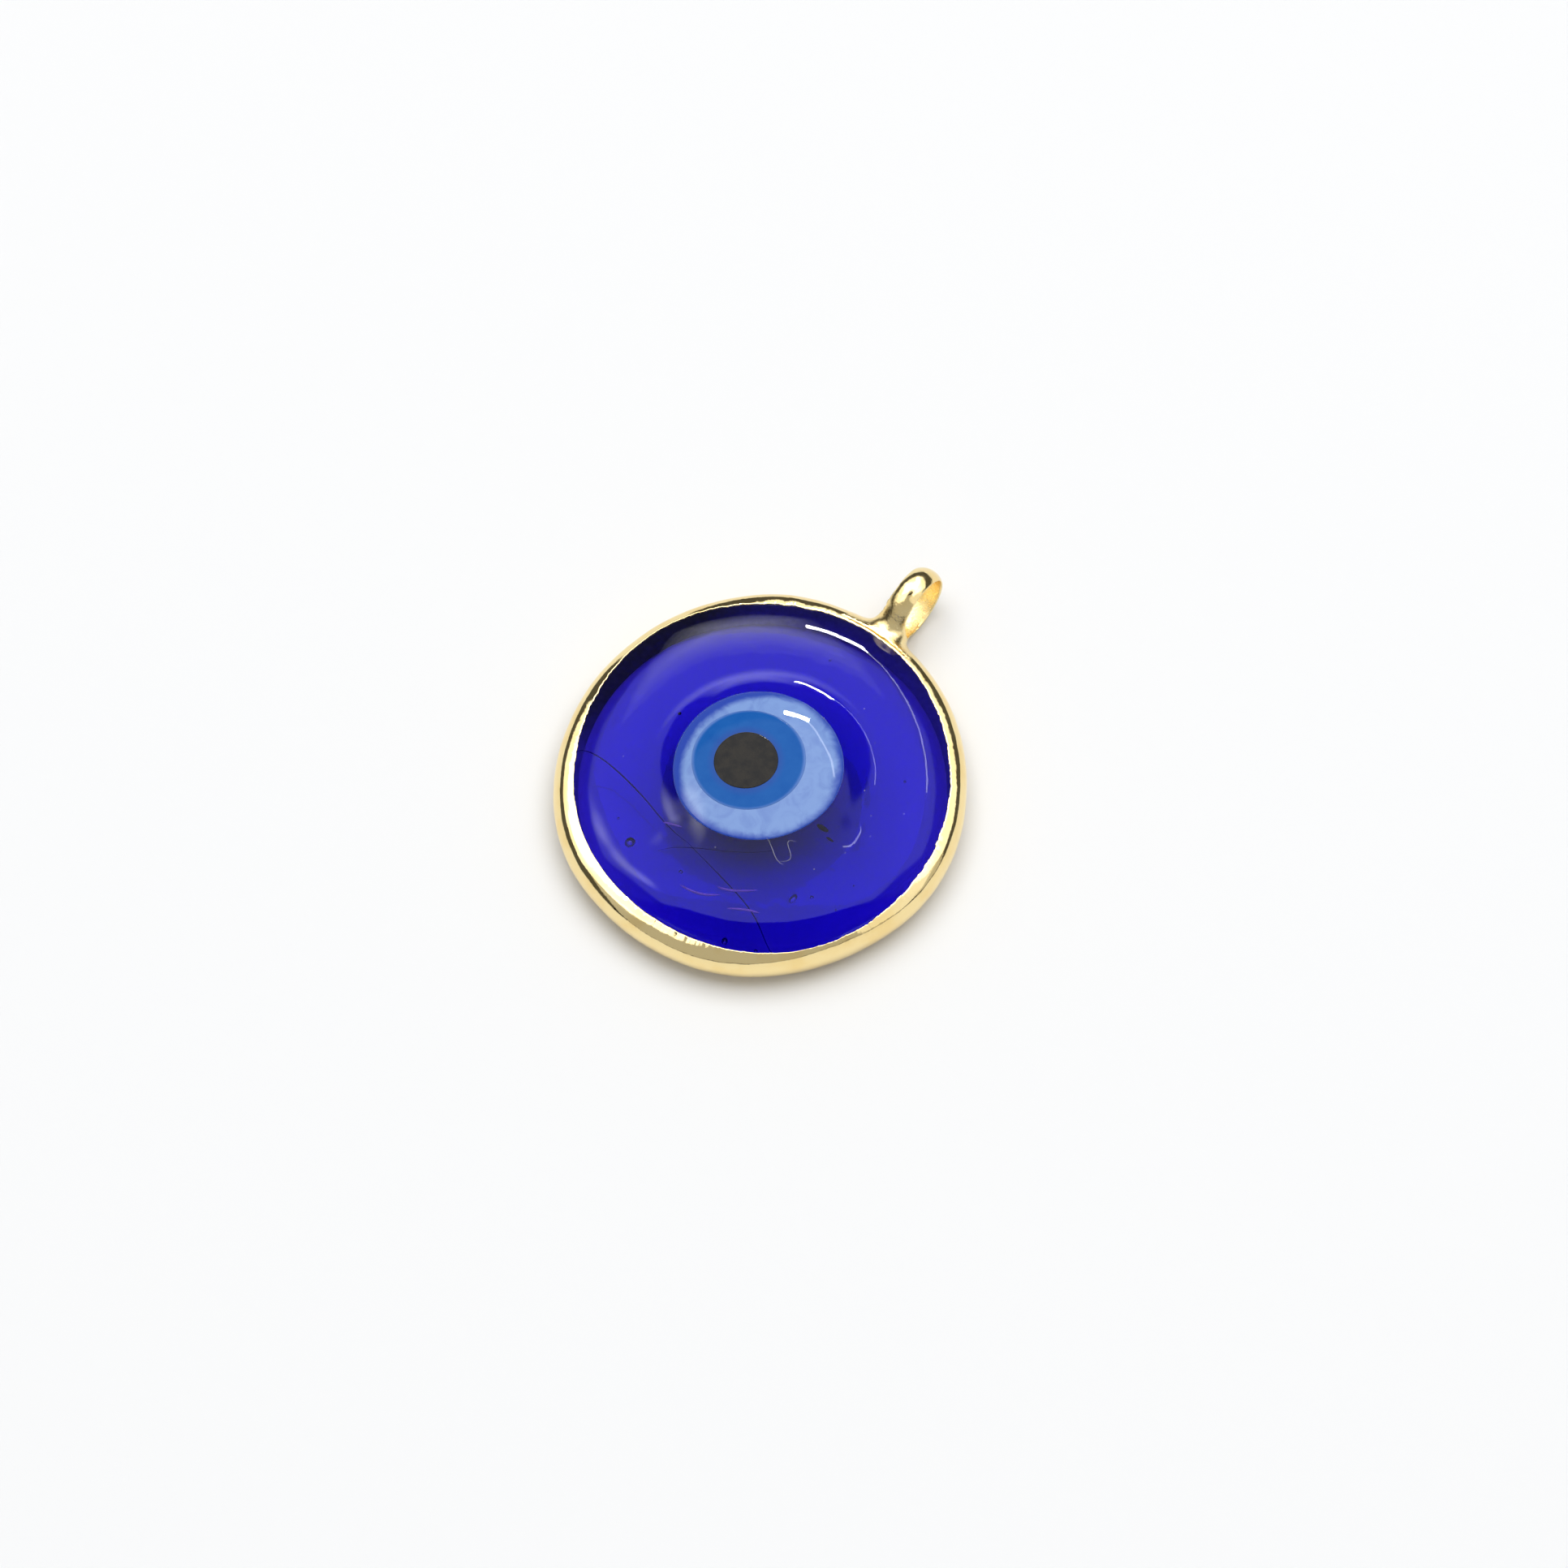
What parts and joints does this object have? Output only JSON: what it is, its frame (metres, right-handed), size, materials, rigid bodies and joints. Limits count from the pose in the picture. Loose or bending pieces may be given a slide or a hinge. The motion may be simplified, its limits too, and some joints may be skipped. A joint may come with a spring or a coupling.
{
  "type": "evil eye pendant",
  "caption": "Round cobalt glass pendant with a layered blue eye on a raised mound, a thin gold metal rim and a small fixed hanging loop.",
  "frame": {"origin": "centre of the bead's flat back", "axes": "+Z out of the face along the bead's axis, +Y towards the hanging loop, +X to the right when the face is seen with the loop up"},
  "size_m": [0.0221, 0.0268, 0.0049],
  "materials": {
    "cobalt_glass": "clear, fire-polished",
    "light_blue_glass": "opal, fire-polished",
    "mid_blue_glass": "opal, fire-polished",
    "black_glass": "opaque, fire-polished",
    "gold_plate": "bright gold plating on electroformed copper, hand-made surface"
  },
  "bodies": {
    "root": {"glass_base": "cobalt_glass", "eye_white_layer": "light_blue_glass", "iris_layer": "mid_blue_glass", "pupil_layer": "black_glass", "rim_bezel": "gold_plate", "hanging_loop": "gold_plate", "loop_neck": "gold_plate"}
  },
  "joints": []
}
